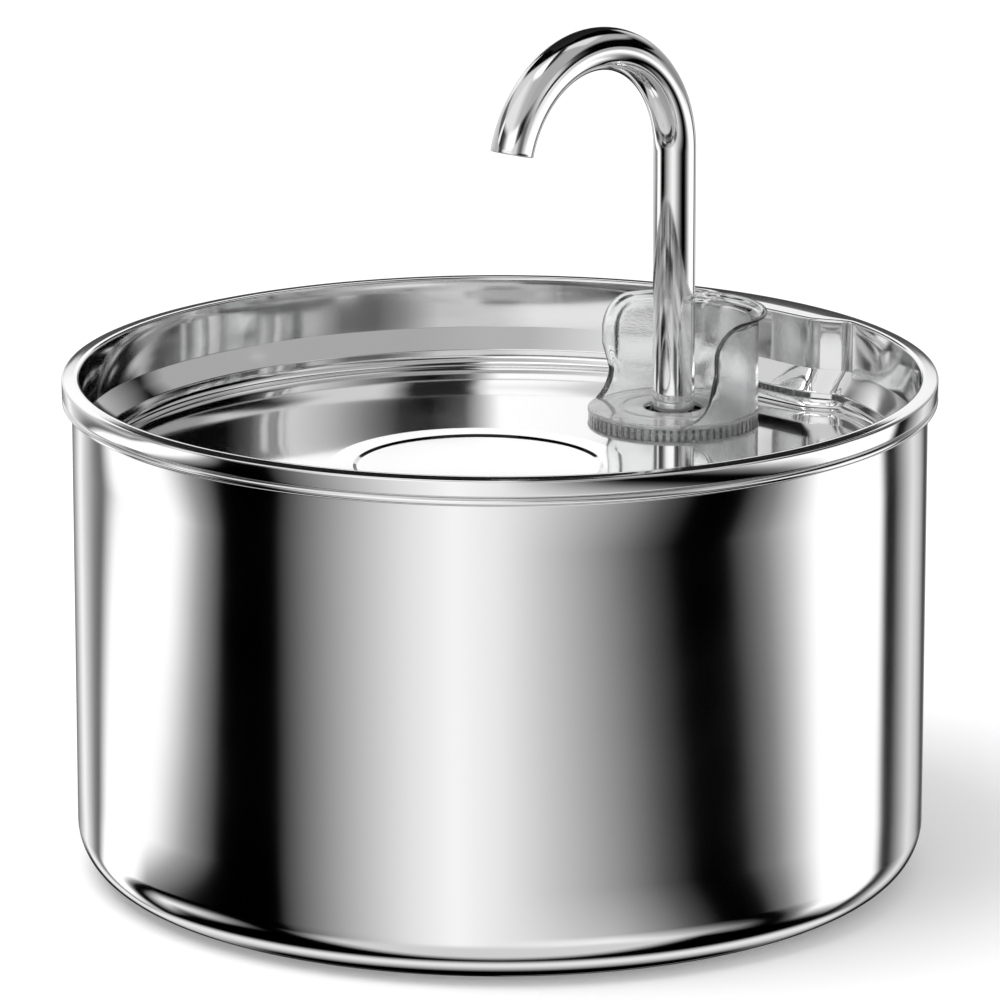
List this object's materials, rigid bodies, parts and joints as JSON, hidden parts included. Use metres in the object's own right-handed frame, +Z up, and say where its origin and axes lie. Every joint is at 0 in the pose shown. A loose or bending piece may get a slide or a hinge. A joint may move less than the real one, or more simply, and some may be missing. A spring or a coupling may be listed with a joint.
{
  "type": "pet_water_fountain",
  "caption": "Round polished stainless steel pet water fountain: deep bowl, lift-out drinking tray, bent steel faucet with a clear splash guard, ring filter and small submersible pump",
  "frame": {"origin": "on the axis of the round bowl, in the plane of its foot ring", "axes": "+Z up along the bowl's axis; +X to the right and +Y to the back, so that the faucet stands at 45 degrees between them"},
  "size_m": [0.202, 0.202, 0.1936],
  "materials": {
    "polished_steel": "polished stainless steel 304",
    "clear_plastic": "clear moulded polycarbonate",
    "frosted_plastic": "natural polypropylene",
    "white_plastic": "white ABS",
    "fleece": "white polyester fleece",
    "carbon": "granulated activated carbon",
    "blue_sponge": "open cell polyurethane foam",
    "black_silicone": "moulded silicone",
    "red_silicone": "moulded silicone",
    "clear_silicone": "translucent silicone",
    "black_plastic": "black ABS",
    "core_steel": "stamped silicon steel laminations",
    "nylon": "natural nylon",
    "copper_wire": "enamelled copper wire",
    "resin": "cast epoxy resin",
    "ceramic": "ground alumina ceramic",
    "ferrite": "sintered ferrite",
    "orange_plastic": "orange acetal",
    "grey_foam": "reticulated foam"
  },
  "bodies": {
    "base": {"outer_bowl": "polished_steel", "pump_housing": "black_plastic", "pump_cover": "black_plastic", "cover_seal": "red_silicone", "stator_core": "core_steel", "coil_bobbin": "nylon", "coil_winding": "copper_wire", "potting_plug": "resin", "cable_gland": "black_silicone", "suction_cups": "clear_silicone", "motor_shaft": "ceramic", "shaft_bushes": "black_silicone", "riser_hose": "clear_silicone"},
    "tray": {"drinking_tray": "polished_steel"},
    "guard": {"splash_guard": "clear_plastic"},
    "basket": {"filter_basket": "frosted_plastic"},
    "cartridge": {"cartridge_shell": "white_plastic", "cartridge_cap": "white_plastic", "filter_fleece": "fleece", "carbon_bed": "carbon", "filter_sponge": "blue_sponge"},
    "adapter": {"tube_adapter": "black_silicone", "adapter_seal": "red_silicone"},
    "faucet": {"faucet_tube": "polished_steel"},
    "rotor": {"rotor_magnet": "ferrite", "impeller": "white_plastic"},
    "flow": {"flow_slider": "orange_plastic"},
    "foam": {"prefilter_foam": "grey_foam"},
    "cage": {"prefilter_cage": "black_plastic"}
  },
  "joints": [
    {"name": "tray_lift", "type": "slide", "parent": "base", "child": "tray", "axis": [0, 0, 1], "range_m": [0, 0.06]},
    {"name": "guard_lift", "type": "slide", "parent": "tray", "child": "guard", "axis": [0, 0, 1], "range_m": [0, 0.035]},
    {"name": "basket_drop", "type": "slide", "parent": "guard", "child": "basket", "axis": [0, 0, -1], "range_m": [0, 0.021]},
    {"name": "cartridge_lift", "type": "slide", "parent": "basket", "child": "cartridge", "axis": [0, 0, 1], "range_m": [0, 0.008]},
    {"name": "faucet_pull", "type": "slide", "parent": "tray", "child": "adapter", "axis": [0, 0, 1], "range_m": [0, 0.04]},
    {"name": "faucet_swivel", "type": "hinge", "parent": "adapter", "child": "faucet", "pos_m": [0.04101, 0.04101, 0.09], "axis": [0, 0, 1], "continuous": true},
    {"name": "rotor_spin", "type": "hinge", "parent": "base", "child": "rotor", "pos_m": [0.04101, 0.04101, 0.027], "axis": [-0.7071, 0.7071, 0], "continuous": true},
    {"name": "flow_slide", "type": "slide", "parent": "base", "child": "flow", "axis": [-0.7071, -0.7071, 0], "range_m": [0, 0.006]},
    {"name": "foam_pull", "type": "slide", "parent": "base", "child": "foam", "axis": [-0.7071, 0.7071, 0], "range_m": [0, 0.012]},
    {"name": "cage_pull", "type": "slide", "parent": "foam", "child": "cage", "axis": [-0.7071, 0.7071, 0], "range_m": [0, 0.012]}
  ]
}
